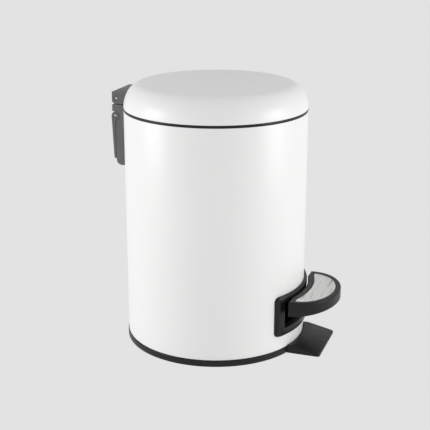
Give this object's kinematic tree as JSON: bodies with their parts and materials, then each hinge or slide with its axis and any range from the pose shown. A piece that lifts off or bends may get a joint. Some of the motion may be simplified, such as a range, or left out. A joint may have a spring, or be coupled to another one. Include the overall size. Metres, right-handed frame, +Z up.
{
  "type": "pedal trash can",
  "caption": "Small round pedal bin: painted steel body, domed lid lifted by a foot pedal through a lever and push rod, inner bucket and rear carry handle.",
  "frame": {"origin": "centre of the base tray's flat underside, on the floor", "axes": "+Z up along the body's axis, pedal towards -Y, lid hinge towards +Y, +X across"},
  "size_m": [0.1714, 0.2187, 0.25],
  "materials": {
    "white_paint": "smooth satin white powder coat",
    "black_plastic": "fine moulded texture, black",
    "grey_plastic": "fine moulded texture, dark grey",
    "brushed_steel": "brushed across",
    "zinc_steel": "bright zinc plated",
    "black_rubber": "soft matte"
  },
  "bodies": {
    "body": {"base_tray": "black_plastic", "foot_plate": "black_plastic", "outer_shell": "white_paint", "pedal_bezel": "black_plastic", "top_ring": "black_plastic", "lid_buffer_1": "black_rubber", "lid_buffer_2": "black_rubber", "lid_buffer_3": "black_rubber", "inner_bucket": "black_plastic", "bucket_bail": "zinc_steel", "pivot_bracket": "zinc_steel", "bracket_screw_1": "zinc_steel", "bracket_screw_2": "zinc_steel", "pivot_pin": "zinc_steel", "hinge_housing": "grey_plastic", "housing_screw_1": "zinc_steel", "housing_screw_2": "zinc_steel", "carry_pin": "zinc_steel", "hinge_pin": "zinc_steel"},
    "lid": {"lid_shell": "white_paint", "lid_liner": "black_plastic", "hinge_cap": "grey_plastic", "lid_screw_1": "zinc_steel", "lid_screw_2": "zinc_steel"},
    "pedal": {"pedal": "black_plastic", "pedal_inlay": "brushed_steel", "pedal_lever": "zinc_steel", "pedal_screw_1": "zinc_steel", "pedal_screw_2": "zinc_steel"},
    "push_rod": {"push_rod": "zinc_steel"},
    "carry_handle": {"carry_handle": "grey_plastic"}
  },
  "joints": [
    {"name": "lid_open", "type": "hinge", "parent": "body", "child": "lid", "pos_m": [0, 0.0915, 0.228], "axis": [-1, 0, 0], "range_deg": [0, 80]},
    {"name": "pedal_press", "type": "hinge", "parent": "body", "child": "pedal", "pos_m": [0, -0.045, 0.01664], "axis": [1, 0, 0], "range_deg": [0, 7.72]},
    {"name": "push_rod_lift", "type": "slide", "parent": "body", "child": "push_rod", "axis": [0, 0, 1], "range_m": [0, 0.0163]},
    {"name": "carry_handle_swing", "type": "hinge", "parent": "body", "child": "carry_handle", "pos_m": [0, 0.0927, 0.2115], "axis": [1, 0, 0], "range_deg": [0, 90]}
  ],
  "couplings": [
    {"joint": "pedal_press", "follows": "lid_open", "ratio": 0.09643},
    {"joint": "push_rod_lift", "follows": "lid_open", "m_per_rad": 0.011659}
  ]
}
